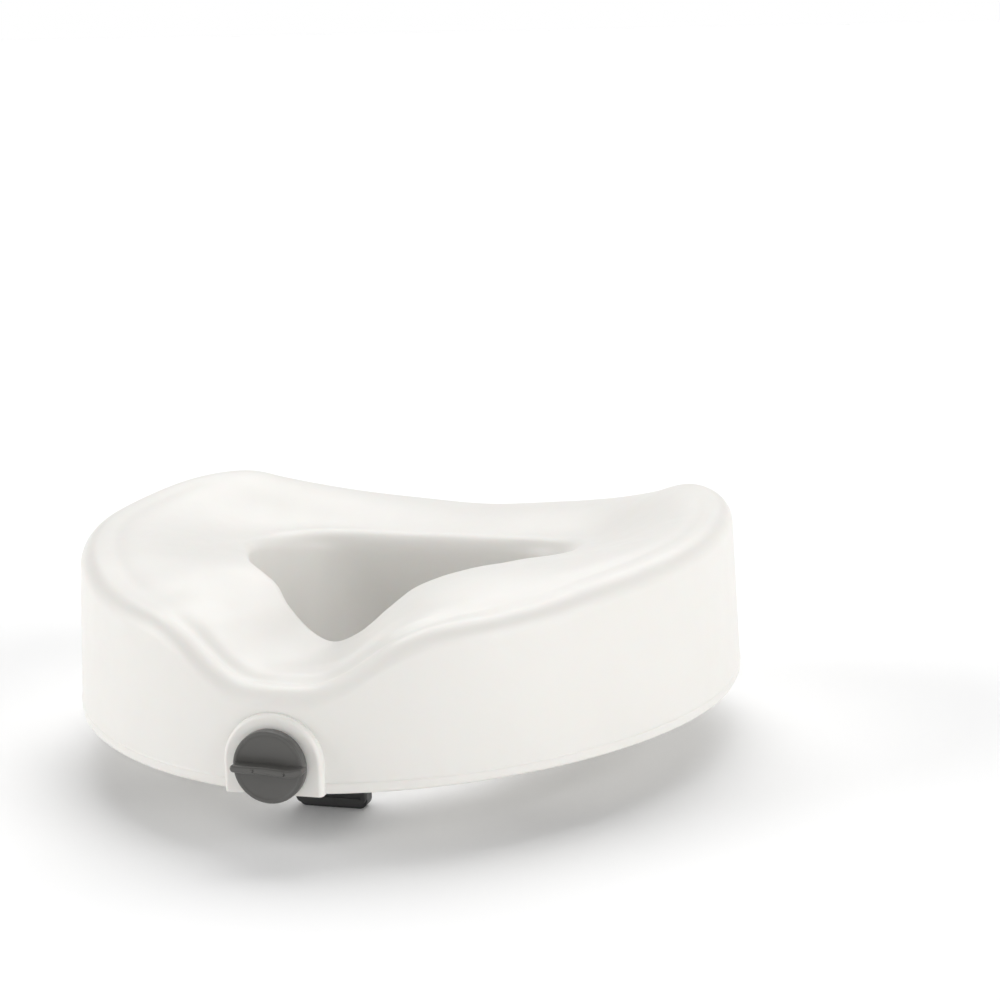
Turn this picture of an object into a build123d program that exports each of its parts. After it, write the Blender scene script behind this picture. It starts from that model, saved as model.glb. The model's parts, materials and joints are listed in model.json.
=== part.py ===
from build123d import *
import math
import os

# Raised toilet seat with a front clamp. Millimetres, +Z up, -Y is the front (knob side),
# +X is to the right as seen from the front. The shape is drawn about the plane of the
# seat's underside (z = 0), and moved at the end so that the origin is the centre of the
# base of the whole object's box, where it stands on its clamp arm and two rear hooks.

# ---- driving dimensions -------------------------------------------------------------
SEAT_HALF_W = 200.0        # widest half width of the body at its bottom edge
WIDEST_Y = 21.0            # where it is widest
FRONT_LEN = 229.5          # from the widest station to the front
REAR_LEN = 184.0           # from the widest station to the rear
FRONT_POWER = 1.82         # roundness of the front half of the plan
REAR_POWER = 2.6           # squarer rear half
DRAFT = math.tan(math.radians(2.7))
WALL = 3.5                 # blow-moulded wall
OUTER_ROLL = 11.0          # rounded outer edge of the top
INNER_ROLL = 7.0           # rounded edge of the seat opening

# height of the top above the underside, (angle from the front in degrees, mm)
RIM_OUTER = [(0, 57), (6, 58), (10, 63), (14, 71), (18, 79), (24, 85), (33, 87), (45, 90), (58, 95),
             (85, 100), (108, 102), (122, 104), (130, 103.5), (135, 101), (140, 95), (147, 88), (155, 82),
             (165, 77.5), (180, 74)]
RIM_INNER = [(0, 58), (8, 64), (17, 78), (24, 86), (33, 91), (42, 93), (50, 93), (60, 91), (75, 87),
             (90, 82.5), (107, 78.5), (123, 76), (140, 74), (157, 72.5), (180, 72)]
CROWN = [(0, -1), (20, 0), (40, 3), (90, 1), (130, 0), (160, 2), (180, 2)]
# plan radius of the seat opening, (angle from the front in degrees, mm)
OPENING_R = [(0, 107), (10, 106), (17, 104.5), (24, 98.5), (33, 96), (42, 94), (50, 91.5), (58, 89),
             (70, 88), (90, 93), (107, 102), (123, 110), (134, 113), (145, 110), (157, 103), (168, 98),
             (180, 97)]

BOSS_HALF_W = 28.0         # arch-shaped pad round the knob
BOSS_CENTRE_Z = 16.6       # height of the centre of its round top
BOSS_FACE_Y = -209.8       # flat face that the knob's washer bears on
SCREW_Z = 17.0             # axis of the clamp screw
SCREW_R = 5.0              # trapezoidal thread Tr10x3, drawn as its major diameter
RUN_FIT = 0.05             # radial clearance of the screw in its bush and nut
KNOB_R = 20.0              # hand knob
KNOB_FRONT_Y = -217.0
KNOB_BACK_Y = -211.2
FIN_FRONT_Y = -225.0       # front edge of the finger grip
FIN_T = 4.0                # thickness of the finger grip
CHANNEL_HALF_W = 23.0      # channel in the underside for the clamp
CHANNEL_TOP = 33.0
CHANNEL_FRONT_Y = -196.0   # rear face of the front wall
CLAMP_FACE_Y = -128.0      # rubber face of the clamp when it grips a bowl rim 52 mm wide
FOOT_Z = -36.0             # lowest level of the clamp arm and the hooks
HOOK_X = 62.0              # middle of each rear hook
HOOK_FACE_Y = 98.0         # front face of the hook's leg, inside the bowl
FLANGE_TOP = 6.8           # the hook's flange is let into the underside
SHIFT = (0.0, 10.0, 36.0)  # from the underside plane to the base of the object's box


# ---- small helpers ------------------------------------------------------------------
def interpolate(knots, a):
    """Smooth value of a table of (angle, value) at angle a, flat at both ends."""
    a = min(max(a, knots[0][0]), knots[-1][0])
    n = len(knots)
    slopes = [0.0] * n
    for i in range(1, n - 1):
        slopes[i] = (knots[i + 1][1] - knots[i - 1][1]) / (knots[i + 1][0] - knots[i - 1][0])
    k = 0
    while k < n - 2 and a > knots[k + 1][0]:
        k += 1
    (a0, v0), (a1, v1) = knots[k], knots[k + 1]
    h = a1 - a0
    t = (a - a0) / h
    return (v0 * (1 + 2 * t) * (1 - t) ** 2 + slopes[k] * h * t * (1 - t) ** 2
            + v1 * t * t * (3 - 2 * t) - slopes[k + 1] * h * t * t * (1 - t))


def outline_radius(a, inset=0.0):
    """Plan radius of the body's outline at angle a from the front, brought in by inset."""
    sx, cy = math.sin(math.radians(a)), -math.cos(math.radians(a))
    lo, hi = 0.0, 320.0
    for _ in range(40):
        r = (lo + hi) / 2
        x, y = abs(r * sx), r * cy - WIDEST_Y
        length, power = (FRONT_LEN, FRONT_POWER) if y < 0 else (REAR_LEN, REAR_POWER)
        inside = (x / (SEAT_HALF_W - inset)) ** power + (abs(y) / (length - inset)) ** power < 1
        lo, hi = (r, hi) if inside else (lo, r)
    return lo


def box(x0, x1, y0, y1, z0, z1):
    return Pos((x0 + x1) / 2, (y0 + y1) / 2, (z0 + z1) / 2) * Box(x1 - x0, y1 - y0, z1 - z0)


def rod_y(r, y0, y1, x=0.0, z=0.0):
    """Cylinder along Y from y0 to y1."""
    return Pos(x, (y0 + y1) / 2, z) * Rot(90, 0, 0) * Cylinder(r, y1 - y0)


def rod_z(r, z0, z1, x=0.0, y=0.0):
    return Pos(x, y, (z0 + z1) / 2) * Cylinder(r, z1 - z0)


def cross_slot(x, y, depth, reach):
    """Cross recess, cut up from the underside, for a screw driven from below."""
    return (box(x - reach, x + reach, y - 0.5, y + 0.5, 0, depth)
            + box(x - 0.5, x + 0.5, y - reach, y + reach, 0, depth))


def hex_y(across_flats, y0, y1, z=0.0):
    """Hexagonal prism along Y."""
    sketch = Plane.XZ.offset(-y0) * RegularPolygon(across_flats / 2, 6, major_radius=False)
    return Pos(0, 0, z) * extrude(sketch, -(y1 - y0))


# ---- the hollow seat body -----------------------------------------------------------
STATIONS = [-12, -8, -4, 0, 4, 8, 12, 16, 20, 25, 32, 40, 50, 62, 76, 90, 105, 118, 128, 135, 141, 148,
            156, 164, 172, 180, 188, 196]


def mirrored(a):
    """The same station on the right half, for angles just past the middle plane."""
    return 360.0 - a if a > 180 else abs(a)


def section_points(a, inset):
    """Radius and height of the top of the section at angle a, from outer to inner wall."""
    outer, inner = outline_radius(a) - inset, interpolate(OPENING_R, a) + inset
    z_out, z_in = interpolate(RIM_OUTER, a) - inset, interpolate(RIM_INNER, a) - inset
    crown = interpolate(CROWN, a)
    roll_out, roll_in = OUTER_ROLL - inset, INNER_ROLL - inset * 0.5
    r_out, r_in = outer - DRAFT * z_out - roll_out, inner + roll_in
    points = []
    for i in range(5):
        t = math.radians(90.0 * i / 4)
        points.append((r_out + roll_out * math.cos(t), z_out - roll_out + roll_out * math.sin(t)))
    for i in range(1, 6):
        s = i / 6
        z = z_out + (z_in - z_out) * s * s * (3 - 2 * s) + crown * 4 * s * (1 - s)
        points.append((r_out + (r_in - r_out) * s, z))
    for i in range(4, -1, -1):
        t = math.radians(90.0 * i / 4)
        points.append((r_in - roll_in * math.cos(t), z_in - roll_in + roll_in * math.sin(t)))
    return points


def section(a, inset, floor):
    """Closed wire of the ring's cross-section at angle a from the front."""
    top = section_points(mirrored(a), inset)
    outer = outline_radius(mirrored(a)) - inset
    inner = interpolate(OPENING_R, mirrored(a)) + inset
    edge = 1.5
    foot = outer - DRAFT * floor
    low = [(inner - 2 + edge, floor), (foot - edge, floor), (foot, floor + edge)]
    sx, cy = math.sin(math.radians(a)), -math.cos(math.radians(a))

    def at(p):
        return Vector(p[0] * sx, p[0] * cy, p[1])

    last = (inner - 2, floor + edge)
    edges = [Edge.make_line(at(low[0]), at(low[1])), Edge.make_line(at(low[1]), at(low[2])),
             Edge.make_line(at(low[2]), at(top[0])), Edge.make_spline([at(p) for p in top]),
             Edge.make_line(at(top[-1]), at(last)), Edge.make_line(at(last), at(low[0]))]
    return Wire(edges)


def half_ring(inset, floor):
    """Right half of the ring-shaped body; the loft runs past the middle plane at both ends."""
    whole = Solid.make_loft([section(a, inset, floor) for a in STATIONS], ruled=False)
    return whole & box(0, 260, -260, 260, -10, 160)


def boss():
    """Arch-shaped pad that stands out of the front wall round the knob."""
    with BuildSketch(Plane.XZ.offset(-BOSS_FACE_Y)) as arch:
        with Locations((0, BOSS_CENTRE_Z)):
            Circle(BOSS_HALF_W)
        with Locations((0, BOSS_CENTRE_Z / 2)):
            Rectangle(2 * BOSS_HALF_W, BOSS_CENTRE_Z)
    pad = extrude(arch.sketch, -(CHANNEL_FRONT_Y - BOSS_FACE_Y))
    return pad & box(-60, 60, -260, -150, 0, 100)


def hook_places():
    """Places of the four vertical screws that hold the rear hooks."""
    return [(side * HOOK_X, HOOK_FACE_Y + y) for side in (-1, 1) for y in (17.0, 32.0)]


PAD_PLACES = {"rim_pad_front_left": (-112, -118), "rim_pad_front_right": (112, -118),
              "rim_pad_rear_left": (-128, 118), "rim_pad_rear_right": (128, 118)}
RAIL_SCREW_PLACES = [(sx * 29.0, y) for sx in (-1, 1) for y in (-172.0, -122.0)]
VENT_XY = (150.0, 20.0)


def solid_zones():
    """Places inside the cavity that stay solid: channel walls, hook pockets and bosses."""
    zones = box(-CHANNEL_HALF_W - WALL, CHANNEL_HALF_W + WALL, -230, -90, 0, CHANNEL_TOP + WALL)
    zones += box(-38, 38, -230, -90, 0, 14)
    for side in (-1, 1):
        x = side * HOOK_X
        zones += box(x - 20, x + 20, HOOK_FACE_Y - 6, HOOK_FACE_Y + 46, 0, FLANGE_TOP + WALL + 0.2)
    for x, y in hook_places():
        zones += rod_z(6.8, 0, 21, x, y)
    return zones


def half_body():
    """Right half of the seat body; the left half is its mirror image."""
    body = half_ring(0.0, 0.0)
    body += boss() & box(0, 60, -260, -150, 0, 100)
    cavity = half_ring(WALL, WALL) - solid_zones()
    body -= cavity
    body -= box(-1, CHANNEL_HALF_W, CHANNEL_FRONT_Y, -60, -5, CHANNEL_TOP)
    body -= box(-1, 35.5, -181, -60, -5, 3.2)
    body -= rod_y(8.0, -230, -150, 0, SCREW_Z)
    body -= box(HOOK_X - 16.4, HOOK_X + 16.4, HOOK_FACE_Y - 0.4, HOOK_FACE_Y + 42.4, -5, FLANGE_TOP + 0.2)
    for x, y in hook_places():
        if x > 0:
            body -= rod_z(3.6, 0, 16.8, x, y)
    for x, y in PAD_PLACES.values():
        if x > 0:
            body -= rim_pad(x, y)
    for x, y in RAIL_SCREW_PLACES:
        if x > 0:
            body -= rod_z(2.0, 0, 12, x, y)
    return body


def seat_body():
    right = half_body()
    body = right + mirror(right, about=Plane.YZ)
    return body - rod_z(4.0, -1, 10, *VENT_XY)


def rim_pad(x, y):
    """Anti-slip rubber pad let into the underside, flush as when it is clamped down."""
    pad = box(-24, 24, -9, 9, 0, 2.5)
    pad = fillet(pad.edges().filter_by(Axis.Z), 8.5)
    turn = math.degrees(math.atan2(x, -y)) if y < 0 else math.degrees(math.atan2(x, y)) * -1
    return Pos(x, y, 0) * Rot(0, 0, turn) * pad


def vent_plug():
    """Push-in plug that closes the blow pin's hole in the underside."""
    return rod_z(4.0, 0.4, WALL + 1, *VENT_XY)


# ---- knob, screw and what turns with them -------------------------------------------
def fin_path():
    """Centre line of the wavy finger grip, left to right across the knob."""
    return [(-20.5, 0.9), (-15.0, 0.6), (-7.0, 0.5), (1.0, 0.4), (6.0, -0.2), (11.0, -1.2), (14.5, -1.2),
            (20.5, 1.0)]


def knob():
    """Flat round knob with a wavy finger grip across its front."""
    disc = rod_y(KNOB_R, KNOB_FRONT_Y, KNOB_BACK_Y, 0, SCREW_Z)
    disc = fillet(disc.edges().group_by(Axis.Y)[0], 1.4)
    path = [(x, z + SCREW_Z) for x, z in fin_path()]
    with BuildSketch(Plane.XZ.offset(-KNOB_FRONT_Y - 1)) as fin:
        with BuildLine():
            upper = Spline(*[(x, z + FIN_T / 2) for x, z in path])
            lower = Spline(*[(x, z - FIN_T / 2) for x, z in path])
            Line(upper @ 0, lower @ 0)
            Line(upper @ 1, lower @ 1)
        make_face()
    blade = extrude(fin.sketch, KNOB_FRONT_Y - 1 - FIN_FRONT_Y + 2)
    blade &= box(-40, 40, FIN_FRONT_Y, KNOB_FRONT_Y + 2, -20, 60)
    grip = disc + blade
    grip -= rod_y(SCREW_R, KNOB_FRONT_Y + 2.2, -200, 0, SCREW_Z)
    grip -= hex_y(15.0, KNOB_FRONT_Y + 1.2, KNOB_BACK_Y + 1, SCREW_Z)
    return grip


def clamp_screw():
    """Screw with a hexagon head inside the knob and a groove for the retaining clip."""
    screw = rod_y(SCREW_R, KNOB_FRONT_Y + 1.2, -96, 0, SCREW_Z)
    screw = chamfer(screw.edges().group_by(Axis.Y)[-1], 1.2)
    screw += hex_y(15.0, KNOB_FRONT_Y + 1.2, KNOB_BACK_Y, SCREW_Z)
    groove = rod_y(SCREW_R + 1, -193.1, -191.9, 0, SCREW_Z) - rod_y(4.0, -194, -191, 0, SCREW_Z)
    return screw - groove


def washer(outer, inner, y0, y1, x=0.0, z=SCREW_Z):
    return rod_y(outer, y0, y1, x, z) - rod_y(inner, y0 - 1, y1 + 1, x, z)


def retaining_clip():
    """E-shaped clip in the screw's groove."""
    clip = washer(8.5, 4.0, -193.1, -191.9)
    return clip - box(-3.4, 3.4, -195, -190, SCREW_Z - 12, SCREW_Z)


# ---- front guide and clamp ----------------------------------------------------------
def screw_bush():
    """Flanged bearing bush pressed into the front wall from behind."""
    bush = rod_y(8.0, BOSS_FACE_Y + 0.2, -194.5, 0, SCREW_Z)
    bush += rod_y(11.0, CHANNEL_FRONT_Y, -194.5, 0, SCREW_Z)
    return bush - rod_y(SCREW_R + RUN_FIT, -230, -150, 0, SCREW_Z)


RAIL_Y0, RAIL_Y1 = -189.0, -108.0


def guide_rail():
    """Folded steel channel that the clamp slides in, with two flanges under the body."""
    top, half = CHANNEL_TOP - 0.2, CHANNEL_HALF_W - 0.2
    inside = half - 1.5
    rail = box(-half, half, RAIL_Y0, RAIL_Y1, 3.2, top)
    rail -= box(-inside, inside, RAIL_Y0 - 1, RAIL_Y1 + 1, 0, top - 1.5)
    for side in (-1, 1):
        x = side * (half - 0.75 + 6.4)
        rail += box(x - 6.4, x + 6.4, -180, RAIL_Y1 - 3, 1.7, 3.2)
    bend = rail.edges().filter_by(Axis.Y).group_by(Axis.Z)[-1]
    rail = fillet(bend, 1.4)
    for x, y in RAIL_SCREW_PLACES:
        rail -= rod_z(2.2, 0, 6, x, y)
    return rail


def rail_screws():
    """Four pan-head screws with plain shanks for the threads."""
    screws = []
    for x, y in RAIL_SCREW_PLACES:
        screw = rod_z(4.0, 0.2, 1.7, x, y) + rod_z(1.9, 1.7, 11.5, x, y)
        screws.append(screw - cross_slot(x, y, 0.9, 2.6))
    return screws


ARM_BACK_Y = CLAMP_FACE_Y + 12.0
ARM_FRONT_Y = CLAMP_FACE_Y + 4.0
BLOCK_FRONT_Y = CLAMP_FACE_Y - 30.5


def pad_rivets():
    """Two rivets that hold the rubber face on the clamp's leg."""
    rivets = []
    for x in (-13.0, 13.0):
        shank = rod_y(2.5, ARM_FRONT_Y - 2.0, ARM_BACK_Y + 0.5, x, -19)
        cone = Cone(4.6, 2.6, 1.8, align=(Align.CENTER, Align.CENTER, Align.MIN))
        head = Pos(x, ARM_BACK_Y, -19) * Rot(-90, 0, 0) * cone
        rivets.append(shank + head)
    return rivets


def clamp_arm():
    """Sliding block over the bowl rim, with a leg that hangs inside the bowl."""
    block = box(-20.6, 20.6, BLOCK_FRONT_Y, ARM_BACK_Y, 4.5, 30.6)
    block = fillet(block.edges().filter_by(Axis.Y), 2.0)
    leg = box(-20.6, 20.6, ARM_FRONT_Y, ARM_BACK_Y, FOOT_Z, 12)
    leg = fillet(leg.edges().filter_by(Axis.Y).group_by(Axis.Z)[0], 5.0)
    arm = block + leg
    for x in (-15.0, 0.0, 15.0):
        rib = box(x - 1.8, x + 1.8, ARM_BACK_Y - 0.5, ARM_BACK_Y + 9, -28, 29)
        wedge = Box(10, 30, 30, align=(Align.CENTER, Align.CENTER, Align.MAX))
        arm += rib - Pos(x, ARM_BACK_Y + 9, -28) * Rot(28, 0, 0) * wedge
    arm -= rod_y(SCREW_R + 0.6, -240, -60, 0, SCREW_Z)
    arm -= hex_y(17.0, BLOCK_FRONT_Y - 1, BLOCK_FRONT_Y + 12, SCREW_Z)
    for rivet in pad_rivets():
        arm -= rivet
    for x in (-15.5, 15.5):
        arm -= rod_y(1.5, BLOCK_FRONT_Y - 1, BLOCK_FRONT_Y + 8, x, SCREW_Z)
    return arm


def clamp_nut():
    nut = hex_y(17.0, BLOCK_FRONT_Y, BLOCK_FRONT_Y + 12, SCREW_Z)
    return nut - rod_y(SCREW_R + RUN_FIT, -240, -60, 0, SCREW_Z)


def nut_retainer():
    plate = box(-19.5, 19.5, BLOCK_FRONT_Y - 1.5, BLOCK_FRONT_Y, SCREW_Z - 9, SCREW_Z + 9)
    plate = fillet(plate.edges().filter_by(Axis.Y), 4.0)
    plate -= rod_y(SCREW_R + 1.2, -240, -60, 0, SCREW_Z)
    for x in (-15.5, 15.5):
        plate -= rod_y(1.6, -240, -60, x, SCREW_Z)
    return plate


def retainer_screws():
    screws = []
    for x in (-15.5, 15.5):
        front = BLOCK_FRONT_Y - 1.5
        screw = rod_y(2.9, front - 1.6, front, x, SCREW_Z) + rod_y(1.5, front, front + 9, x, SCREW_Z)
        screws.append(screw - box(x - 2.0, x + 2.0, front - 2, front - 0.8, SCREW_Z - 0.4, SCREW_Z + 0.4))
    return screws


def clamp_pad():
    """Rubber face that bears on the inside of the bowl rim, with shallow grooves."""
    pad = box(-20.6, 20.6, CLAMP_FACE_Y, ARM_FRONT_Y, -33, -5)
    pad = fillet(pad.edges().filter_by(Axis.Y), 4.0)
    for i in range(4):
        z = -28 + 6.0 * i
        pad -= box(-18, 18, CLAMP_FACE_Y - 1, CLAMP_FACE_Y + 1.2, z - 1, z + 1)
    for rivet in pad_rivets():
        pad -= rivet
    return pad


# ---- rear hooks ---------------------------------------------------------------------
def rear_hook(side):
    """Hook with a flange let into the underside and a toe that goes under the rear rim."""
    x0, x1, leg_back = side * HOOK_X - 16, side * HOOK_X + 16, HOOK_FACE_Y + 5
    flange = box(x0, x1, HOOK_FACE_Y, HOOK_FACE_Y + 42, 0.3, FLANGE_TOP)
    leg = box(x0, x1, HOOK_FACE_Y, leg_back, FOOT_Z, FLANGE_TOP)
    toe = box(x0, x1, HOOK_FACE_Y, HOOK_FACE_Y + 32, FOOT_Z, FOOT_Z + 5)
    hook = flange + leg + toe
    hook = fillet(edges_near(hook, Axis.X, leg_back, FOOT_Z + 5), 4.0)
    hook = fillet(edges_near(hook, Axis.X, HOOK_FACE_Y, FOOT_Z), 4.0)
    hook = fillet(edges_near(hook, Axis.X, HOOK_FACE_Y, FLANGE_TOP), 2.0)
    hook = fillet([e for e in hook.edges().filter_by(Axis.Z) if e.center().Y > HOOK_FACE_Y + 30], 6.0)
    for x, y in hook_places():
        hook -= rod_z(2.7, -1, FLANGE_TOP + 1, x, y) + rod_z(6.2, -1, 3.8, x, y)
    return hook


def edges_near(shape, axis, y, z):
    """Edges along axis whose middle lies at y and z."""
    return [e for e in shape.edges().filter_by(axis) if abs(e.center().Y - y) + abs(e.center().Z - z) < 0.1]


def hook_pad(side):
    """Rubber strip on the hook's toe."""
    x = side * HOOK_X
    pad = box(x - 13, x + 13, HOOK_FACE_Y + 11, HOOK_FACE_Y + 29, FOOT_Z + 5, FOOT_Z + 8)
    return fillet(pad.edges().filter_by(Axis.Z), 3.0)


def hook_screws():
    """Four screws driven up through the hooks' flanges, with plain shanks for the threads."""
    screws = []
    for x, y in hook_places():
        screw = rod_z(4.6, 0.5, 3.0, x, y) + rod_z(2.5, 3.0, 16.0, x, y)
        screws.append(screw - cross_slot(x, y, 1.7, 2.8))
    return screws


def hook_washers():
    return [rod_z(5.6, 3.0, 3.8, x, y) - rod_z(2.7, 2, 5, x, y) for x, y in hook_places()]


def hook_inserts():
    """Threaded inserts moulded into the body's bosses."""
    return [rod_z(3.6, 7.0, 16.6, x, y) - rod_z(2.55, 6, 18, x, y) for x, y in hook_places()]


# ---- export -------------------------------------------------------------------------
def build():
    parts = {
        "seat_body": seat_body(), "vent_plug": vent_plug(), "screw_bush": screw_bush(),
        "guide_rail": guide_rail(), "rail_screws": rail_screws(),
        "rear_hook_left": rear_hook(-1), "rear_hook_right": rear_hook(1),
        "hook_pad_left": hook_pad(-1), "hook_pad_right": hook_pad(1),
        "hook_screws": hook_screws(), "hook_washers": hook_washers(), "hook_inserts": hook_inserts(),
        "knob": knob(), "clamp_screw": clamp_screw(),
        "thrust_washer": washer(10.5, SCREW_R + 0.1, KNOB_BACK_Y, KNOB_BACK_Y + 1.0),
        "inner_washer": washer(9.5, SCREW_R + 0.1, -194.1, -193.1),
        "retaining_clip": retaining_clip(),
        "clamp_arm": clamp_arm(), "clamp_nut": clamp_nut(), "nut_retainer": nut_retainer(),
        "retainer_screws": retainer_screws(), "clamp_pad": clamp_pad(), "pad_rivets": pad_rivets(),
    }
    for name, (x, y) in PAD_PLACES.items():
        parts[name] = rim_pad(x, y)
    return parts


def main():
    os.makedirs("parts", exist_ok=True)
    for name, shape in build().items():
        pieces = shape if isinstance(shape, list) else [shape]
        solids = [s.moved(Location(SHIFT)) for piece in pieces for s in piece.solids()]
        whole = solids[0] if len(solids) == 1 else Compound(children=solids)
        whole.label = name
        export_step(whole, f"parts/{name}.step")
        box_of = whole.bounding_box()
        print(name, len(solids), [round(v, 1) for v in (*box_of.min, *box_of.max)], round(whole.volume))


main()
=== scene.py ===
# %% [markdown]
# # A raised toilet seat, dressed for the camera
# The CAD model already holds every piece in its true place and size. This lesson loads it as a
# fixed frame, then makes the visible pieces again with smoother shapes where the eye needs them,
# and gives each one the material it is really made of. Everything is in metres, +Z is up and the
# hand knob is at the front, towards -Y.

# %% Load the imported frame
import bisect
import json
import math

import bmesh
import bpy
from mathutils import Matrix, Vector


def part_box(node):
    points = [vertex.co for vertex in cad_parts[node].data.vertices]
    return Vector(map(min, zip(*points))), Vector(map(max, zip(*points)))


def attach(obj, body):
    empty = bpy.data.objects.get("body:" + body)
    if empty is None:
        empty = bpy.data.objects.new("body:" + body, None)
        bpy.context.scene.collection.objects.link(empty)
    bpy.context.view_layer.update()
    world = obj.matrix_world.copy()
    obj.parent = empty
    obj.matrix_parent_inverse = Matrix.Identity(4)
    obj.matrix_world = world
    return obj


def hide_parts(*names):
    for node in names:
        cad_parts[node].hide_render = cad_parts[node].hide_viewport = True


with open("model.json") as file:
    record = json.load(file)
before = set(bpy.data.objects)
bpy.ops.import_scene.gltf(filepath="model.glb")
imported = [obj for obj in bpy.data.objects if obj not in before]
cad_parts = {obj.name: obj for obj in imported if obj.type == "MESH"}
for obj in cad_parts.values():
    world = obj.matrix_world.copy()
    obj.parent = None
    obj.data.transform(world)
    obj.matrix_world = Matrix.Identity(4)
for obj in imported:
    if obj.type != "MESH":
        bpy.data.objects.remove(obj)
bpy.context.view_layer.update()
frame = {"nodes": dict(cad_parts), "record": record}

MM = 0.001

# %% [markdown]
# ## Where things are
# The underside that rests on the bowl is a flat ring. Its height, and the middle of the seat from
# front to rear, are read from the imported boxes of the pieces, so the drawing below can use
# millimetres measured from the underside, as a drawing of the real moulding would.

# %% Reference planes
REAR_Y = 205.0  # the rear wall's foot, in millimetres behind the middle of the drawing
body_low, body_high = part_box("seat_body")
BASE_Z = body_low[2]
MID_Y = body_high[1] - REAR_Y * MM
print("underside at z =", round(BASE_Z, 4), "middle at y =", round(MID_Y, 4))


def place(x, y, z):
    """A point given in millimetres from the middle of the underside, in the frame's metres."""
    return Vector((x * MM, MID_Y + y * MM, BASE_Z + z * MM))


# %% [markdown]
# ## The camera
# A long lens from the front right, a little above the seat, keeps the walls nearly parallel.
# The camera's matrix is built from its right, up and backward directions.

# %% Camera
lens_data = bpy.data.cameras.new("camera")
lens_data.lens = 85.888
lens_data.sensor_width = 36.0
lens_data.shift_x = -0.0535
lens_data.shift_y = 0.0063
lens_data.clip_end = 50.0
camera = bpy.data.objects.new("camera", lens_data)
bpy.context.scene.collection.objects.link(camera)
right = Vector((0.9657, 0.2586, -0.0223)).normalized()
forward = Vector((-0.2576, 0.9441, -0.2056)).normalized()
up = right.cross(forward).normalized()
right = forward.cross(up)
turn = Matrix((right, up, -forward)).transposed().to_4x4()
camera.matrix_world = Matrix.Translation((0.46309, -1.32263, 0.44160)) @ turn
bpy.context.scene.camera = camera
print("camera distance", round(camera.location.length, 3))

# %% [markdown]
# ## The studio
# White plastic on a white floor needs light with a direction, or it has no shape. Three broad
# suns do that: one low on each side draws the curved walls, and one from behind and above opens
# the top. Suns light the whole floor evenly, so it stays one plain pale sheet. The sky is white
# at the horizon and dimmer overhead, which leaves the inside of the opening in soft shade.

# %% Node helper and colours
scene = bpy.context.scene
scene.view_settings.view_transform = "Standard"
scene.view_settings.look = "None"


def linear(hex_colour):
    """An sRGB hex colour as linear red, green, blue and alpha."""
    values = [int(hex_colour[i:i + 2], 16) / 255 for i in (1, 3, 5)]
    return tuple(v / 12.92 if v <= 0.04045 else ((v + 0.055) / 1.055) ** 2.4 for v in values) + (1.0,)


def node(tree, kind, inputs=None, **settings):
    """Add one shader node, set its properties, and fill or link its inputs."""
    made = tree.nodes.new(kind)
    for name, value in settings.items():
        setattr(made, name, value)
    for key, value in (inputs or {}).items():
        socket = made.inputs[key]
        if isinstance(value, bpy.types.NodeSocket):
            tree.links.new(value, socket)
        else:
            socket.default_value = value
    return made


# %% Sky, floor and suns
HORIZON, OVERHEAD = 1.0, 0.22
FLOOR_HALF = 40.0
world = bpy.data.worlds.new("studio")
scene.world = world
world.use_nodes = True
sky = world.node_tree
toward = node(sky, "ShaderNodeTexCoord").outputs["Generated"]
height = node(sky, "ShaderNodeSeparateXYZ", {"Vector": toward}).outputs["Z"]
fade = node(sky, "ShaderNodeMapRange", {"Value": height, "From Min": 0.05, "From Max": 0.3,
                                        "To Min": HORIZON, "To Max": OVERHEAD})
background = sky.nodes["Background"]
background.inputs["Color"].default_value = linear("#FFFFFF")
sky.links.new(fade.outputs["Result"], background.inputs["Strength"])

floor_mesh = bpy.data.meshes.new("floor")
bm = bmesh.new()
bmesh.ops.create_grid(bm, x_segments=1, y_segments=1, size=FLOOR_HALF)
bm.to_mesh(floor_mesh)
bm.free()
floor = bpy.data.objects.new("floor", floor_mesh)
scene.collection.objects.link(floor)
paper = bpy.data.materials.new("matte studio paper")
paper.use_nodes = True
paper_shader = paper.node_tree.nodes["Principled BSDF"]
paper_shader.inputs["Base Color"].default_value = linear("#FCFCFC")
paper_shader.inputs["Roughness"].default_value = 0.9
paper_shader.inputs["Specular IOR Level"].default_value = 0.1
floor_mesh.materials.append(paper)


def broad_sun(name, comes_from, strength, spread_degrees):
    """A very soft sun that shines from the given direction."""
    data = bpy.data.lights.new(name, "SUN")
    data.energy, data.angle = strength, math.radians(spread_degrees)
    lamp = bpy.data.objects.new(name, data)
    scene.collection.objects.link(lamp)
    lamp.rotation_euler = (-Vector(comes_from)).to_track_quat("-Z", "Y").to_euler()


broad_sun("left_sun", (-1.0, -0.35, 0.36), 1.7, 44)
broad_sun("right_sun", (1.0, -0.35, 0.36), 1.7, 44)
broad_sun("rear_sun", (-0.1, 0.75, 1.0), 2.0, 60)

# %% [markdown]
# ## Smooth tables
# A moulding like this one is drawn as a few heights and radii round its plan. A smooth curve
# through each table gives the value at any angle from the front, so a small table stands for a
# long flowing edge.


# %% Smooth curve through a table
def along(knots, a):
    """Smooth value at a of a table of (position, value) pairs, flat at both ends."""
    a = min(max(a, knots[0][0]), knots[-1][0])
    k = min(max(bisect.bisect_right([p for p, _ in knots], a) - 1, 0), len(knots) - 2)

    def slope(i):
        if i in (0, len(knots) - 1):
            return 0.0
        return (knots[i + 1][1] - knots[i - 1][1]) / (knots[i + 1][0] - knots[i - 1][0])

    (a0, v0), (a1, v1) = knots[k], knots[k + 1]
    h, t = a1 - a0, (a - a0) / (a1 - a0)
    return (v0 * (1 + 2 * t) * (1 - t) ** 2 + slope(k) * h * t * (1 - t) ** 2
            + v1 * t * t * (3 - 2 * t) - slope(k + 1) * h * t * t * (1 - t))


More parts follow.
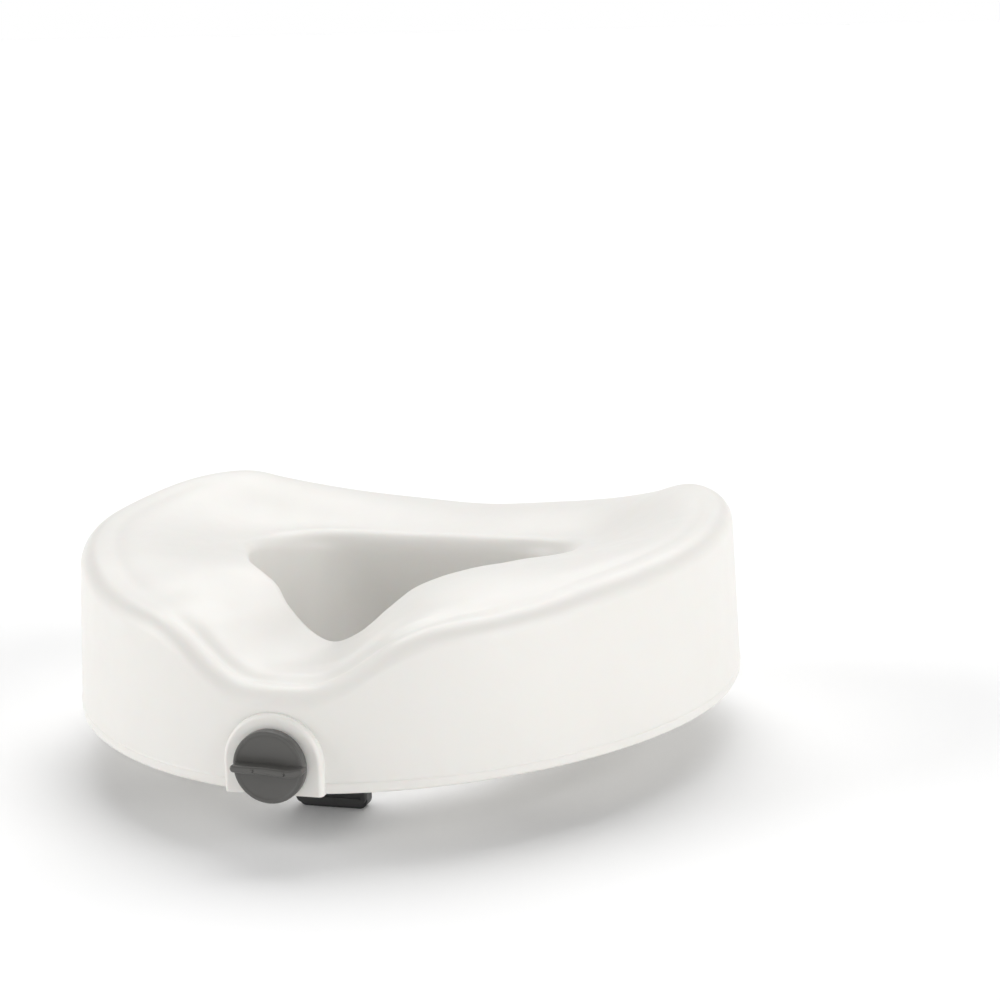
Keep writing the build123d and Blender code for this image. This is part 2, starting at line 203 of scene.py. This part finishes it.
def smooth(t):
    """Ease from 0 to 1."""
    t = min(max(t, 0.0), 1.0)
    return t * t * (3 - 2 * t)


# Heights and radii in millimetres at angles in degrees from the front, the same on both sides.
RIM_OUTER = [(0, 57), (6, 58), (10, 63), (14, 71), (18, 79), (24, 85), (33, 87), (45, 90),
             (58, 95), (85, 100), (108, 102), (122, 104), (130, 103.5), (135, 101), (140, 95),
             (147, 88), (155, 82), (165, 77.5), (180, 74)]
RIM_INNER = [(0, 58), (8, 64), (17, 78), (24, 86), (33, 91), (42, 93), (50, 93), (60, 91.5),
             (75, 89.5), (90, 86), (107, 82), (123, 78.5), (140, 75), (157, 72.5), (180, 72)]
CROWN = [(0, -1), (20, 0), (40, 3), (90, 1), (130, 0), (160, 2), (180, 2)]
OPENING_R = [(0, 107), (10, 106), (17, 104.5), (24, 98.5), (33, 96), (42, 94), (50, 91.5),
             (58, 89), (70, 88), (90, 93), (107, 102), (123, 110), (134, 113), (145, 110),
             (157, 103), (168, 98), (180, 97)]
HALF_WIDTH, WIDEST_Y = 200.0, 21.0
FRONT_LENGTH, FRONT_POWER = 229.5, 1.82
REAR_LENGTH, REAR_POWER = 184.0, 2.6
DRAFT = math.tan(math.radians(2.7))  # the walls lean in towards the top
OUTER_ROLL, INNER_ROLL, REAR_ROLL = 11.0, 7.0, 14.0
SHOULDER_DROP, LIP_HEIGHT = 1.0, 2.8  # the shoulder at the front, and the lip inside it


def outline_radius(a):
    """Plan radius of the outer wall at its foot, at angle a from the front."""
    sx, cy = math.sin(math.radians(a)), -math.cos(math.radians(a))
    lo, hi = 0.0, 320.0
    for _ in range(30):
        r = (lo + hi) / 2
        x, y = abs(r * sx), r * cy - WIDEST_Y
        length, power = (FRONT_LENGTH, FRONT_POWER) if y < 0 else (REAR_LENGTH, REAR_POWER)
        inside = (x / HALF_WIDTH) ** power + (abs(y) / length) ** power < 1
        lo, hi = (r, hi) if inside else (lo, r)
    return lo


print("half width", round(outline_radius(84.0), 1), "mm, front", round(outline_radius(0.0), 1), "mm")

# %% [markdown]
# ## The blow-moulded body
# The real body is one hollow bottle-like moulding bent into a ring, so every edge of its top is a
# soft roll. A ring with a round section has the same connections as that body. It is spun with
# bmesh, and then each point is moved: its place round the section says which part of the wall it
# is on, and its place round the ring says which heights and radii to read from the tables.

# %% Rows of the section, from the foot of the outer wall over the top to the opening
RIDGE_Z, FOOT_TOP, INNER_FOOT_TOP = 5.95, 9.5, 9.0
FOOT_HEIGHTS = (0.0, 0.3, 0.9, 1.7, 3.0, 4.6, 5.4, 5.7, RIDGE_Z, 6.2, 6.5, 6.8, 7.6, FOOT_TOP)
ROWS = [("foot", z) for z in FOOT_HEIGHTS]
ROWS += [("wall", i / 25) for i in range(1, 25)]
ROWS += [("outer_roll", i / 14) for i in range(0, 15)]
ROWS += [("top", i / 44) for i in range(1, 44)]
ROWS += [("inner_roll", i / 12) for i in range(0, 13)]
ROWS += [("inner_wall", i / 17) for i in range(1, 17)]
ROWS += [("inner_foot", z) for z in (INNER_FOOT_TOP, 4.0, 1.7, 0.9, 0.3, 0.0)]
ROWS += [("underside", i / 12) for i in range(1, 12)]
COLUMNS = 432
FOOT_RADIUS, INNER_LEAN = 1.8, 2.0
print("section rows:", len(ROWS), "columns:", COLUMNS)


def bell(x, middle, width):
    """A smooth bump of height 1."""
    return math.exp(-((x - middle) / width) ** 2)


def foot_round(z):
    """How far the rounded bottom edge draws in at height z."""
    if z >= FOOT_RADIUS:
        return 0.0
    return FOOT_RADIUS - math.sqrt(max(FOOT_RADIUS ** 2 - (FOOT_RADIUS - z) ** 2, 0.0))


def parting_ridge(z):
    """The thin ridge where the two halves of the mould meet, just above the bottom edge."""
    return 0.32 * bell(z, RIDGE_Z, 0.42)


def top_relief(inboard, a, lip):
    """Height that the soft grooves and swells of the top add, a distance inboard of its edge."""
    wing = smooth((a - 18.0) / 12.0) * (1.0 - smooth((a - 112.0) / 22.0))
    relief = wing * (0.3 * bell(inboard, 22.0, 7.0) - 0.7 * bell(inboard, 9.0, 5.0))
    fall = smooth((inboard - 16.0) / 25.0)
    height = LIP_HEIGHT + (SHOULDER_DROP - LIP_HEIGHT) * fall
    return relief + lip * (height * smooth((inboard - 4.0) / 10.0) - 0.7 * bell(inboard, 3.0, 3.5))


def section_point(row, a):
    """Radius and height, in millimetres, of a row of the section at angle a from the front."""
    kind, t = row
    outer, inner = outline_radius(a), along(OPENING_R, a)
    z_out, z_in = along(RIM_OUTER, a), along(RIM_INNER, a)
    lip = 1.0 - smooth((a - 14.0) / 18.0)
    z_edge = z_out - SHOULDER_DROP * lip
    inner_roll = INNER_ROLL + (REAR_ROLL - INNER_ROLL) * smooth((a - 95.0) / 45.0)
    r_out = outer - DRAFT * z_edge - OUTER_ROLL
    r_in = inner + inner_roll
    if kind == "foot":
        return outer - DRAFT * t - foot_round(t) + parting_ridge(t), t
    if kind == "wall":
        z = FOOT_TOP + (z_edge - OUTER_ROLL - FOOT_TOP) * t
        return outer - DRAFT * z, z
    turn = math.pi / 2 * t
    if kind == "outer_roll":
        drop = 1 - math.sin(turn)
        return r_out + OUTER_ROLL * (math.cos(turn) + DRAFT * drop), z_edge - OUTER_ROLL * drop
    if kind == "top":
        z = z_edge + (z_in - z_out) * smooth(t) + along(CROWN, a) * 4 * t * (1 - t)
        z += top_relief(t * max(r_out - r_in, 1.0), a, lip)
        return r_out + (r_in - r_out) * t, z
    if kind == "inner_roll":
        return r_in - inner_roll * math.sin(turn), z_in - inner_roll + inner_roll * math.cos(turn)
    if kind == "inner_wall":
        return inner - INNER_LEAN * t, (z_in - inner_roll) * (1 - t) + INNER_FOOT_TOP * t
    low = inner - INNER_LEAN
    if kind == "inner_foot":
        return low + foot_round(t), t
    return low + FOOT_RADIUS + (outer - low - 2 * FOOT_RADIUS) * t, 0.0


# %% Spin the ring and move its points
def warp(a):
    """Crowd the columns towards the front, where the shape changes fastest (degrees)."""
    return a - 26.0 * math.sin(math.radians(a))


def ring_body():
    """The closed ring: a circle of section points, spun and then moved to the real surface."""
    bm = bmesh.new()
    count = len(ROWS)
    made = bmesh.ops.create_circle(bm, segments=count, radius=0.3)
    for i, v in enumerate(made["verts"]):
        t = 2 * math.pi * i / count
        v.co = Vector((1.0 + 0.3 * math.cos(t), 0.0, 0.3 * math.sin(t)))
    bmesh.ops.spin(bm, geom=bm.verts[:] + bm.edges[:], cent=(0, 0, 0), axis=(0, 0, 1),
                   angle=2 * math.pi, steps=COLUMNS, use_merge=True)
    bmesh.ops.remove_doubles(bm, verts=bm.verts, dist=1e-6)
    cache = {}
    for v in bm.verts:
        angle = math.degrees(math.atan2(v.co.x, -v.co.y))
        around = math.atan2(v.co.z, math.hypot(v.co.x, v.co.y) - 1.0) % (2 * math.pi)
        row = round(around / (2 * math.pi) * count) % count
        side = -1.0 if angle < 0 else 1.0
        a = warp(abs(angle))
        key = (row, round(abs(angle), 4))
        if key not in cache:
            cache[key] = section_point(ROWS[row], a)
        r, z = cache[key]
        v.co = place(side * r * math.sin(math.radians(a)), -r * math.cos(math.radians(a)), z)
    bmesh.ops.recalc_face_normals(bm, faces=bm.faces)
    return bm


def keep(bm, name):
    """Turn a bmesh into a smooth object at the origin."""
    mesh = bpy.data.meshes.new(name)
    for face in bm.faces:
        face.smooth = True
    bm.to_mesh(mesh)
    bm.free()
    made = bpy.data.objects.new(name, mesh)
    scene.collection.objects.link(made)
    return made


shell = keep(ring_body(), "seat_shell")
print("ring faces:", len(shell.data.polygons))

# %% [markdown]
# ## The arch round the knob and the cuts in the underside
# The front wall carries a flat-faced arch for the knob to turn against. It is extruded from a
# few points and its front edge is bevelled, then a Boolean joins it to the body. The channel for
# the clamp, the pockets for the hooks and the pads are cut out by simple blocks in the same way.


# %% Block, rod and arch makers
def round_off(bm, edges, radius, segments):
    """Round the given edges to a radius in millimetres."""
    return bmesh.ops.bevel(bm, geom=edges, offset=radius * MM, segments=segments, profile=0.5,
                           affect="EDGES", material=-1)


def touching(verts, wanted=lambda edge: True):
    """The edges that meet any of the vertices and are wanted."""
    return [e for e in {e for v in verts for e in v.link_edges} if wanted(e)]


def upright(edge):
    return abs(edge.verts[0].co.z - edge.verts[1].co.z) > MM


def block(bm, low, high, radius=0.0, segments=4):
    """A box between two corners in body millimetres, with rounded edges if radius is given."""
    made = bmesh.ops.create_cube(bm, size=1.0)
    centre = (place(*low) + place(*high)) / 2
    size = [(h - l) * MM for l, h in zip(low, high)]
    bmesh.ops.scale(bm, vec=size, verts=made["verts"])
    bmesh.ops.translate(bm, vec=centre, verts=made["verts"])
    if radius:
        round_off(bm, touching(made["verts"]), radius, segments)
    return made["verts"]


def rod(bm, axis, radius, start, end, a, b, segments=48):
    """A capped cylinder along Y or Z, between start and end, centred on the other two."""
    made = bmesh.ops.create_cone(bm, cap_ends=True, segments=segments, radius1=radius * MM,
                                 radius2=radius * MM, depth=(end - start) * MM)
    if axis == "Y":
        bmesh.ops.rotate(bm, verts=made["verts"], cent=(0, 0, 0),
                         matrix=Matrix.Rotation(-math.pi / 2, 3, "X"))
        bmesh.ops.translate(bm, vec=place(a, (start + end) / 2, b), verts=made["verts"])
    else:
        bmesh.ops.translate(bm, vec=place(a, b, (start + end) / 2), verts=made["verts"])
    return made["verts"]


def boss_mesh(half=27.6, centre=16.6, front=-209.8, shift=-0.6, steps=40):
    """The arch: a half disc on a rectangle, extruded backwards, with its front edge rounded."""
    bm = bmesh.new()
    outline = [place(shift - half, front, 0.0)]
    for i in range(steps + 1):
        t = math.pi - math.pi * i / steps
        outline.append(place(shift + half * math.cos(t), front, centre + half * math.sin(t)))
    outline.append(place(shift + half, front, 0.0))
    face = bm.faces.new([bm.verts.new(p) for p in outline])
    grown = bmesh.ops.extrude_face_region(bm, geom=[face])
    back = [g for g in grown["geom"] if isinstance(g, bmesh.types.BMVert)]
    bmesh.ops.translate(bm, vec=(0, 0.016, 0), verts=back)
    bmesh.ops.recalc_face_normals(bm, faces=bm.faces)
    front_y = place(0, front, 0).y
    low_z = place(0, 0, 0).z
    edges = [e for e in bm.edges if all(abs(v.co.y - front_y) < 1e-6 for v in e.verts)]
    edges = [e for e in edges if not all(abs(v.co.z - low_z) < 1e-6 for v in e.verts)]
    bmesh.ops.bevel(bm, geom=edges, offset=2.4 * MM, segments=6, profile=0.5, affect="EDGES",
                    material=-1, clamp_overlap=True)
    bmesh.ops.remove_doubles(bm, verts=bm.verts, dist=1e-7)
    return bm


PAD_PLACES = [(-112, -118), (112, -118), (-128, 118), (128, 118)]
PAD_HALF_LENGTH, PAD_HALF_WIDTH, PAD_THICKNESS, PAD_END_RADIUS = 24.0, 9.0, 2.5, 8.5
HOOK_X, HOOK_Y, SCREW_Z = 62.0, 98.0, 17.0


def pad_slab(bm, low_z):
    """A slab with rounded ends in the shape of a pad, from low_z up to the pad's back."""
    verts = block(bm, (-PAD_HALF_LENGTH, -PAD_HALF_WIDTH, low_z),
                  (PAD_HALF_LENGTH, PAD_HALF_WIDTH, PAD_THICKNESS))
    return round_off(bm, touching(verts, upright), PAD_END_RADIUS, 8)


def turn_to(bm, verts, x, y):
    """Turn points drawn at the middle so that they lie along the ring, and move them to x, y."""
    turn = math.atan2(x, -y) if y < 0 else -math.atan2(x, y)
    origin = place(0, 0, 0)
    bmesh.ops.rotate(bm, verts=verts, cent=origin, matrix=Matrix.Rotation(turn, 3, "Z"))
    bmesh.ops.translate(bm, vec=place(x, y, 0) - origin, verts=verts)


def first_cutters():
    """The clamp's channel, the pockets of the hooks and the pads, and the vent hole."""
    bm = bmesh.new()
    block(bm, (-23, -196, -5), (23, -60, 33), 1.2, 2)
    for side in (-1, 1):
        block(bm, (side * HOOK_X - 16.4, HOOK_Y - 0.4, -5), (side * HOOK_X + 16.4, HOOK_Y + 42.4, 7.0))
    rod(bm, "Z", 4.0, -3, 6, 150, 20, 32)
    for x, y in PAD_PLACES:
        rounded = pad_slab(bm, -2.0)
        turn_to(bm, list({v for f in rounded["faces"] for v in f.verts}), x, y)
    return bm


def second_cutters():
    """The shallow recess for the guide's flanges and the hole for the bush."""
    bm = bmesh.new()
    block(bm, (-35.5, -181, -5), (35.5, -60, 3.2))
    rod(bm, "Y", 8.0, -230, -180, 0, SCREW_Z, 48)
    return bm


# %% Join the arch, cut the underside and freeze the result
def combine(target, tool, operation):
    """Join or cut target with one exact Boolean and remove the tool."""
    mod = target.modifiers.new(operation.lower(), "BOOLEAN")
    mod.operation, mod.solver, mod.object = operation, "EXACT", tool
    bpy.context.view_layer.update()
    graph = bpy.context.evaluated_depsgraph_get()
    result = bpy.data.meshes.new_from_object(target.evaluated_get(graph))
    old = target.data
    target.modifiers.clear()
    target.data = result
    result.name = target.name
    bpy.data.meshes.remove(old)
    bpy.data.objects.remove(tool, do_unlink=True)


combine(shell, keep(boss_mesh(), "boss_tool"), "UNION")
combine(shell, keep(first_cutters(), "cut_tool_a"), "DIFFERENCE")
combine(shell, keep(second_cutters(), "cut_tool_b"), "DIFFERENCE")
print("body faces after cutting:", len(shell.data.polygons))


def sharpen(piece, degrees=32.0):
    """Smooth shading everywhere except across edges that bend more than the given angle."""
    bm = bmesh.new()
    bm.from_mesh(piece.data)
    for edge in bm.edges:
        if len(edge.link_faces) == 2:
            edge.smooth = edge.calc_face_angle(0.0) < math.radians(degrees)
    for face in bm.faces:
        face.smooth = True
    bm.to_mesh(piece.data)
    bm.free()


sharpen(shell)
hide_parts("seat_body")
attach(shell, "seat")

# %% [markdown]
# ## Blow-moulded polyethylene
# The body is high-density polyethylene blown against a grit-blasted mould: white, faintly
# translucent, with a soft satin skin. Three patterns make it: a fine grain from the blasting, a
# slow waviness where the wall cooled unevenly, and a few dull rubbed patches. Each size is worked
# out from millimetres, because Object coordinates are metres.


# %% Helper for pattern sizes and the white moulding
def per_mm(size):
    """Noise scale for a pattern whose features are size millimetres wide."""
    return 1.0 / (size * MM)


def new_material(name):
    """A new material, its node tree and its main shader."""
    made = bpy.data.materials.new(name)
    made.use_nodes = True
    return made, made.node_tree, made.node_tree.nodes["Principled BSDF"]


def noise(tree, where, size, detail, roughness=0.5):
    """The value of a noise pattern whose features are size millimetres wide."""
    made = node(tree, "ShaderNodeTexNoise", {"Vector": where, "Scale": per_mm(size),
                                             "Detail": detail, "Roughness": roughness})
    return made.outputs["Fac"]


def paint(tree, shader, factor, hexes):
    """Mix two colours by factor into the shader's base colour."""
    mix = node(tree, "ShaderNodeMix", {"Factor": factor}, data_type="RGBA")
    mix.inputs[6].default_value, mix.inputs[7].default_value = linear(hexes[0]), linear(hexes[1])
    tree.links.new(mix.outputs[2], shader.inputs["Base Color"])


def polish(tree, shader, value, source, target):
    """Map a pattern's range to a range of roughness."""
    gloss = node(tree, "ShaderNodeMapRange", {"Value": value, "From Min": source[0],
                                              "From Max": source[1], "To Min": target[0],
                                              "To Max": target[1]})
    tree.links.new(gloss.outputs["Result"], shader.inputs["Roughness"])


def relief(tree, height, strength, depth_mm, under=None):
    """The normal of a bump pattern, laid over another normal if one is given."""
    inputs = {"Height": height, "Strength": strength, "Distance": depth_mm * MM}
    if under is not None:
        inputs["Normal"] = under
    return node(tree, "ShaderNodeBump", inputs).outputs["Normal"]


def moulded(name, hexes, roughness, grain_mm, grain, wave_mm, wave, ior, rubbed=0.08):
    """A moulded plastic or rubber: mottled colour, uneven gloss, grain and waviness."""
    made, tree, shader = new_material(name)
    where = node(tree, "ShaderNodeTexCoord").outputs["Object"]
    paint(tree, shader, noise(tree, where, 55, 4.0, 0.55), hexes)
    polish(tree, shader, noise(tree, where, 18, 6.0, 0.7), (0.35, 0.7),
           (roughness - rubbed / 2, roughness + rubbed))
    grainy = relief(tree, noise(tree, where, grain_mm, 2.0), grain, 0.1)
    wavy = relief(tree, noise(tree, where, wave_mm, 1.0), wave, 0.5, grainy)
    tree.links.new(wavy, shader.inputs["Normal"])
    shader.inputs["IOR"].default_value = ior
    return made


def wear(piece, material):
    """Give a piece one material in every slot."""
    piece.data.materials.clear()
    piece.data.materials.append(material)


hdpe = moulded("blow-moulded HDPE", ("#E2E0DC", "#DEDCD7"), 0.42, 1.1, 0.25, 24, 0.25, ior=1.54)
hdpe_shader = hdpe.node_tree.nodes["Principled BSDF"]
hdpe_shader.inputs["Subsurface Weight"].default_value = 0.1
hdpe_shader.inputs["Subsurface Scale"].default_value = 4.0 * MM
wear(shell, hdpe)
print("materials so far:", [m.name for m in bpy.data.materials])

# %% [markdown]
# ## The hand knob
# The knob is one moulding in glass-filled nylon: a flat disc with a raised rim line, and a wavy
# blade across it for the fingers. The disc is a half section spun round the screw's axis. The
# blade starts as a long box with rounded ends and edges, is sliced along its length, and is then
# bent into its wave by moving each slice up or down.

# %% Disc, blade and the socket for the screw's head
KNOB_FACE = -217.0
KNOB_SECTION = [(0, -216.6), (17.0, -216.6), (17.6, -216.8), (18.0, KNOB_FACE),
                (18.9, KNOB_FACE), (19.5, -216.8), (19.9, -216.2), (20.0, -215.4),
                (20.0, -212.0), (19.8, -211.5), (19.3, -211.2), (0, -211.2)]
BLADE_START, BLADE_END = -18.6, 20.5
BLADE_WAVE = [(BLADE_START, 0.9), (-14, 0.6), (-7, 0.5), (1, 0.4), (6, -0.2), (11, -1.1),
              (14.5, -1.3), (BLADE_END, -0.4)]
BLADE_DEPTH = [(-20.5, 8.0), (0, 7.6), (12, 6.2), (BLADE_END, 3.6)]
BLADE_SLICES = 32
EJECTOR_MARKS = [(-5.5, 0.4), (11.2, -1.1)]
HEAD_FRONT, HEAD_BACK = -215.8, -211.2


def spun(section, steps=96):
    """A closed solid of revolution about the screw's axis from (radius, y) points."""
    bm = bmesh.new()
    points = [bm.verts.new(place(radius, y, SCREW_Z)) for radius, y in section]
    edges = [bm.edges.new(pair) for pair in zip(points, points[1:])]
    bmesh.ops.spin(bm, geom=points + edges, cent=place(0, 0, SCREW_Z), axis=(0, 1, 0),
                   angle=2 * math.pi, steps=steps, use_merge=True)
    bmesh.ops.remove_doubles(bm, verts=bm.verts, dist=1e-6)
    bmesh.ops.recalc_face_normals(bm, faces=bm.faces)
    return bm


def blade_mesh():
    """The wavy blade, 4 mm thick, which stands out less towards the right end."""
    bm = bmesh.new()
    reach, back, half = 8.0, -214.0, 2.0
    front = KNOB_FACE - reach
    block(bm, (BLADE_START, front, SCREW_Z - half), (BLADE_END, back, SCREW_Z + half))
    corners = [e for e in bm.edges if abs(e.verts[0].co.y - e.verts[1].co.y) > MM]
    round_off(bm, corners, 1.8, 6)
    front_y = place(0, front, 0).y
    rim = [e for e in bm.edges if all(abs(v.co.y - front_y) < 1e-6 for v in e.verts)]
    round_off(bm, rim, 1.3, 5)
    for i in range(1, BLADE_SLICES):
        cut = place(BLADE_START + (BLADE_END - BLADE_START) * i / BLADE_SLICES, 0, 0)
        bmesh.ops.bisect_plane(bm, geom=bm.verts[:] + bm.edges[:] + bm.faces[:], plane_co=cut,
                               plane_no=(1, 0, 0))
    disc_y = place(0, KNOB_FACE, 0).y
    for v in bm.verts:
        x = v.co.x / MM
        ahead = max(disc_y - v.co.y, 0.0) / (reach * MM)
        v.co.z += (along(BLADE_WAVE, x) * ahead + (0.1 - 0.015 * x) * (1 - ahead)) * MM
        if v.co.y < disc_y:
            v.co.y = disc_y - along(BLADE_DEPTH, x) * ahead * MM
    bmesh.ops.recalc_face_normals(bm, faces=bm.faces)
    return bm


def hexagon(half_flats, start, end):
    """A hexagonal bar along the screw's axis, given half its width across flats."""
    bm = bmesh.new()
    rod(bm, "Y", half_flats / math.cos(math.pi / 6), start, end, 0, SCREW_Z, 6)
    return bm


def knob_dimples():
    """Two small hollows in the blade's front edge, left by the ejector pins."""
    bm = bmesh.new()
    for x, z in EJECTOR_MARKS:
        made = bmesh.ops.create_uvsphere(bm, u_segments=20, v_segments=12, radius=1.0 * MM)
        ahead = KNOB_FACE - along(BLADE_DEPTH, x) - 0.35
        bmesh.ops.translate(bm, vec=place(x, ahead, SCREW_Z + z), verts=made["verts"])
    return bm


grip = keep(spun(KNOB_SECTION), "hand_knob")
combine(grip, keep(blade_mesh(), "blade_tool"), "UNION")
combine(grip, keep(hexagon(7.6, HEAD_FRONT, -209.0), "socket_tool"), "DIFFERENCE")
combine(grip, keep(knob_dimples(), "dimple_tool"), "DIFFERENCE")
sharpen(grip, 30.0)
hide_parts("knob")
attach(grip, "knob")
print("knob faces:", len(grip.data.polygons))

# %% [markdown]
# ## The clamp screw
# The screw has a trapezoidal thread of 3 mm pitch, the kind that is used for clamps because its
# blunt teeth carry load without wearing. One tooth is drawn as an open line, and a spin that also
# moves along the axis sweeps it into a helix. The ends are then sliced flat and closed, and the
# plain shank with its groove and its hexagon head is joined on.

# %% Thread and shank
PITCH, CREST_R, ROOT_R = 3.0, 5.0, 3.3
TOOTH = [(ROOT_R, 0.0), (ROOT_R, 0.96), (CREST_R, 1.43), (CREST_R, 2.53), (ROOT_R, 3.0)]


def thread_mesh(start, end, steps=40, chamfer=1.5):
    """A threaded rod between two places on Y, closed at both ends and chamfered at the rear."""
    bm = bmesh.new()
    turns = int((end - start) / PITCH) + 3
    tooth = [bm.verts.new(place(r, start - PITCH + y, SCREW_Z)) for r, y in TOOTH]
    edges = [bm.edges.new(pair) for pair in zip(tooth, tooth[1:])]
    bmesh.ops.spin(bm, geom=tooth + edges, cent=place(0, 0, SCREW_Z), axis=(0, 1, 0),
                   dvec=(0, PITCH / steps * MM, 0), angle=2 * math.pi * turns, steps=steps * turns)
    bmesh.ops.remove_doubles(bm, verts=bm.verts, dist=2e-6)
    for y, direction in ((start, -1), (end, 1)):
        bmesh.ops.bisect_plane(bm, geom=bm.verts[:] + bm.edges[:] + bm.faces[:],
                               plane_co=place(0, y, 0), plane_no=(0, direction, 0), clear_outer=True)
    bmesh.ops.holes_fill(bm, edges=[e for e in bm.edges if e.is_boundary], sides=0)
    bmesh.ops.recalc_face_normals(bm, faces=bm.faces)
    axis_z, end_y = place(0, 0, SCREW_Z).z, place(0, end, 0).y
    for v in bm.verts:
        radius = math.hypot(v.co.x, v.co.z - axis_z)
        limit = CREST_R * MM - max(chamfer * MM - (end_y - v.co.y), 0.0)
        if radius > limit:
            v.co.x *= limit / radius
            v.co.z = axis_z + (v.co.z - axis_z) * limit / radius
    return bm


SHANK_SECTION = [(0, -213.0), (4.95, -213.0), (4.95, -193.1), (4.0, -193.1), (4.0, -191.9),
                 (4.95, -191.9), (4.95, -188.6), (3.4, -187.0), (3.2, -186.0), (0, -186.0)]


screw = keep(thread_mesh(-187.5, -96.0), "threaded_screw")
combine(screw, keep(spun(SHANK_SECTION, 64), "shank_tool"), "UNION")
combine(screw, keep(hexagon(7.5, HEAD_FRONT, HEAD_BACK), "head_tool"), "UNION")
sharpen(screw, 30.0)
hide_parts("clamp_screw")
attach(screw, "knob")
print("screw faces:", len(screw.data.polygons))

# %% [markdown]
# ## Rubber pads with ribs
# The pads under the seat keep it from sliding on glazed china. Each is a small block of EPDM
# rubber whose face has moulded ribs. A pad is made as a rounded slab, and a row of narrow blocks
# cuts the grooves between its ribs, so that they are real.


# %% Ribbed pads for the rim
GROOVE_STEP, GROOVE_WIDTH, GROOVE_DEPTH, GROOVE_HALF_LENGTH = 3.2, 1.0, 0.9, 7.0


def rim_pad_mesh(x, y):
    """One pad in its pocket, still without its grooves."""
    bm = bmesh.new()
    pad_slab(bm, 0.0)
    turn_to(bm, bm.verts, x, y)
    return bm


def groove_mesh(x, y):
    """The row of blocks that cuts one pad's grooves."""
    bm = bmesh.new()
    for i in range(-6, 7):
        middle = i * GROOVE_STEP
        block(bm, (middle - GROOVE_WIDTH / 2, -GROOVE_HALF_LENGTH, -1.0),
              (middle + GROOVE_WIDTH / 2, GROOVE_HALF_LENGTH, GROOVE_DEPTH), 0.2, 2)
    turn_to(bm, bm.verts, x, y)
    return bm


rubber_pieces = []
for x, y in PAD_PLACES:
    name = "rim_pad_" + ("front" if y < 0 else "rear") + ("_left" if x < 0 else "_right")
    pad = keep(rim_pad_mesh(x, y), name.replace("rim_pad", "ribbed_pad"))
    combine(pad, keep(groove_mesh(x, y), "groove_tool"), "DIFFERENCE")
    sharpen(pad)
    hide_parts(name)
    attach(pad, "seat")
    rubber_pieces.append(pad)
print("ribbed pads:", [pad.name for pad in rubber_pieces])

# %% [markdown]
# ## The other finishes
# The knob's nylon is filled with glass fibre, which gives a dark grey with a faint cloudiness and a
# satin skin. The hooks and the clamp arm are the same kind of nylon, dyed black. Rubber is duller
# and a little dusty. The steel pieces are zinc plated, which looks like pale metal with soft
# cloudy patches and fine drawing lines, the clip is dark spring steel, and the inserts are brass.


# %% Metals
def plated(name, hexes, roughness, patch_mm, line_mm, stretch=(1.0, 1.0, 1.0)):
    """A metal: cloudy plating colour, uneven gloss and fine lines drawn along one direction."""
    made, tree, shader = new_material(name)
    where = node(tree, "ShaderNodeTexCoord").outputs["Object"]
    drawn = node(tree, "ShaderNodeMapping", {"Vector": where, "Scale": stretch}).outputs["Vector"]
    cloud = noise(tree, where, patch_mm, 5.0)
    paint(tree, shader, cloud, hexes)
    polish(tree, shader, cloud, (0.3, 0.7), (roughness - 0.07, roughness + 0.1))
    lines = relief(tree, noise(tree, drawn, line_mm, 3.0), 0.3, 0.05)
    tree.links.new(lines, shader.inputs["Normal"])
    shader.inputs["Metallic"].default_value = 1.0
    return made


knob_nylon = moulded("glass-filled nylon, warm grey", ("#53524F", "#4C4B49"), 0.34, 0.7, 0.35,
                     9, 0.15, ior=1.53)
black_nylon = moulded("glass-filled nylon, black", ("#2A2A2A", "#222323"), 0.44, 0.7, 0.4,
                      9, 0.2, ior=1.53)
rubber = moulded("EPDM rubber", ("#3A3A39", "#2F2F2F"), 0.78, 0.5, 0.5, 6, 0.2, ior=1.52, rubbed=0.12)
zinc = plated("zinc-plated steel", ("#C9CBCC", "#B4B7BA"), 0.32, 7, 0.6, (1.0, 0.08, 1.0))
spring = plated("oiled spring steel", ("#56575A", "#404144"), 0.36, 3, 0.5)
brass = plated("turned brass", ("#C9A45C", "#B58E48"), 0.3, 4, 0.4, (1.0, 1.0, 6.0))

# %% Each piece gets the finish its record names
FINISHES = {"white_hdpe": hdpe, "grey_nylon": knob_nylon, "black_nylon": black_nylon,
            "grey_rubber": rubber, "zinc_steel": zinc, "spring_steel": spring, "brass": brass}
for part in frame["record"]["subparts"]:
    wear(frame["nodes"][part["node"]], FINISHES[part["material_slot"]])
wear(grip, knob_nylon)
wear(screw, zinc)
for pad in rubber_pieces:
    wear(pad, rubber)
